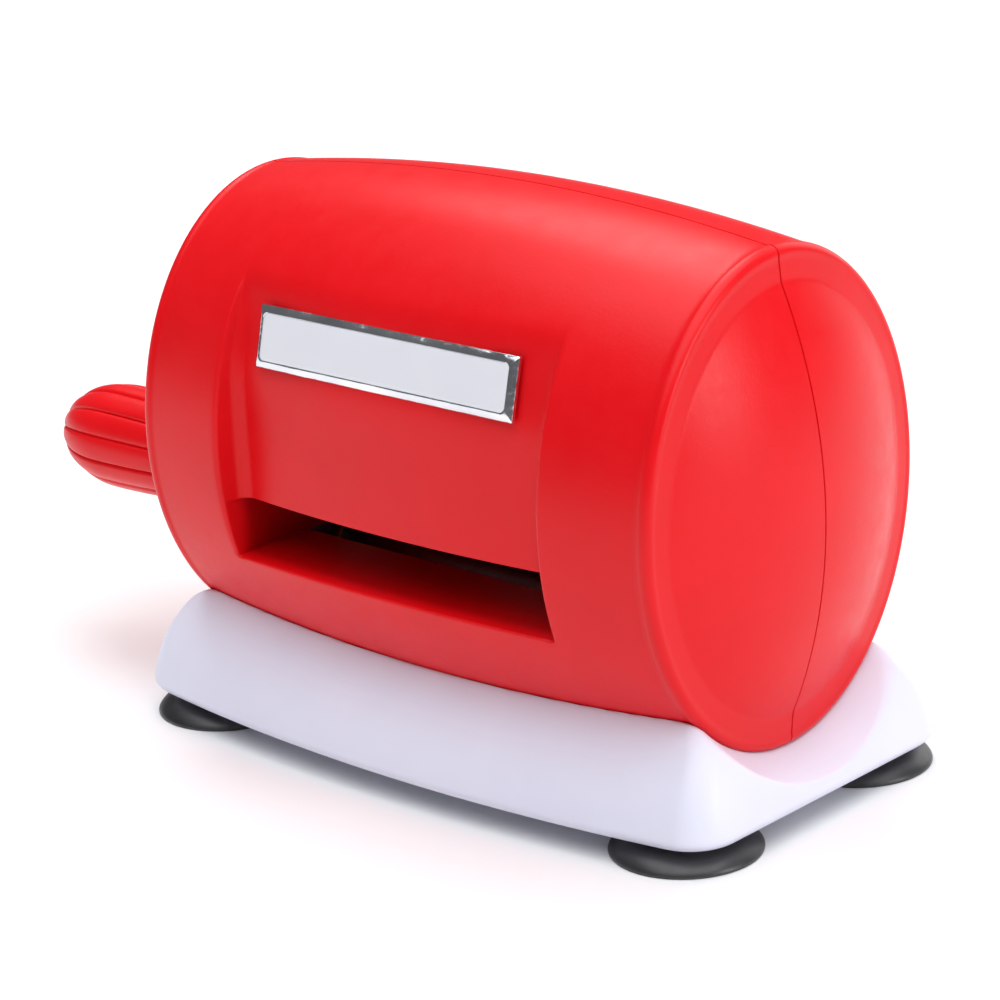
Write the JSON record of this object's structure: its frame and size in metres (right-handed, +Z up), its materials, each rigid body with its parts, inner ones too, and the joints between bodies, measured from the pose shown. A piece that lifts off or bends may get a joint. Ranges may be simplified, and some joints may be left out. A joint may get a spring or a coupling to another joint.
{
  "type": "tabletop roller press",
  "caption": "Hand-cranked tabletop roller press: barrel-shaped shell with a wide feed slot between two geared rollers, saddle base on suction feet, crank with a turning grip.",
  "frame": {"origin": "on the table plane, under the centre of the bounding box of the whole press, crank included", "axes": "+X along the barrel away from the crank, -Y out of the front with the feed slot and label, +Z up"},
  "size_m": [0.287, 0.1188, 0.1564],
  "materials": {
    "shell_red": "fine spark-eroded texture, satin",
    "base_white": "smooth satin moulding, cool white",
    "cup_rubber": "soft sheen black rubber",
    "label_chrome": "bright bevelled rim",
    "label_card": "smooth pale grey, slightly domed, blank",
    "frame_steel": "zinc-plated sheet and bar",
    "roller_steel": "ground and blackened",
    "bush_bronze": "sintered bronze",
    "gear_steel": "hobbed, oiled",
    "spring_steel": "blackened spring steel",
    "arm_steel": "plated bar",
    "zinc_fasteners": "zinc plated",
    "sleeve_plastic": "turned acetal"
  },
  "bodies": {
    "housing": {"front_shell": "shell_red", "rear_shell": "shell_red", "base_shell": "base_white", "base_plate": "base_white", "suction_cup_front_right": "cup_rubber", "suction_cup_rear_right": "cup_rubber", "suction_cup_front_left": "cup_rubber", "suction_cup_rear_left": "cup_rubber", "label_frame": "label_chrome", "label_face": "label_card", "side_frame_right": "frame_steel", "side_frame_left": "frame_steel", "tie_rods": "frame_steel", "tie_rod_nuts": "zinc_fasteners", "upper_bush_right": "bush_bronze", "upper_bush_left": "bush_bronze", "lower_bush_right": "bush_bronze", "lower_bush_left": "bush_bronze", "crank_bush_inner": "bush_bronze", "crank_bush_outer": "bush_bronze", "shell_screws": "zinc_fasteners", "frame_screws": "zinc_fasteners", "base_plate_screws": "zinc_fasteners"},
    "crank": {"crank_shaft": "roller_steel", "crank_clip": "spring_steel", "drive_pinion": "gear_steel", "crank_arm": "arm_steel", "crank_screw": "zinc_fasteners", "grip_pin": "roller_steel", "grip_retaining_ring": "spring_steel"},
    "hand_grip": {"grip": "shell_red", "grip_sleeve": "sleeve_plastic"},
    "upper_roller_train": {"upper_roller": "roller_steel", "drive_gear": "gear_steel", "upper_sync_gear": "gear_steel", "upper_clip_left": "spring_steel", "upper_clip_right": "spring_steel"},
    "lower_roller_train": {"lower_roller": "roller_steel", "lower_sync_gear": "gear_steel", "lower_clip_left": "spring_steel", "lower_clip_right": "spring_steel"}
  },
  "joints": [
    {"name": "crank_turn", "type": "hinge", "parent": "housing", "child": "crank", "pos_m": [0.03945, 0, 0.1125], "axis": [1, 0, 0], "continuous": true},
    {"name": "grip_spin", "type": "hinge", "parent": "crank", "child": "hand_grip", "pos_m": [-0.11055, 0, 0.0574], "axis": [1, 0, 0], "continuous": true},
    {"name": "upper_roller_turn", "type": "hinge", "parent": "housing", "child": "upper_roller_train", "pos_m": [0.03945, 0, 0.0825], "axis": [1, 0, 0], "continuous": true},
    {"name": "lower_roller_turn", "type": "hinge", "parent": "housing", "child": "lower_roller_train", "pos_m": [0.03945, 0, 0.0425], "axis": [1, 0, 0], "continuous": true}
  ],
  "couplings": [
    {"joint": "upper_roller_turn", "follows": "crank_turn", "ratio": -0.5},
    {"joint": "lower_roller_turn", "follows": "crank_turn", "ratio": 0.5}
  ]
}
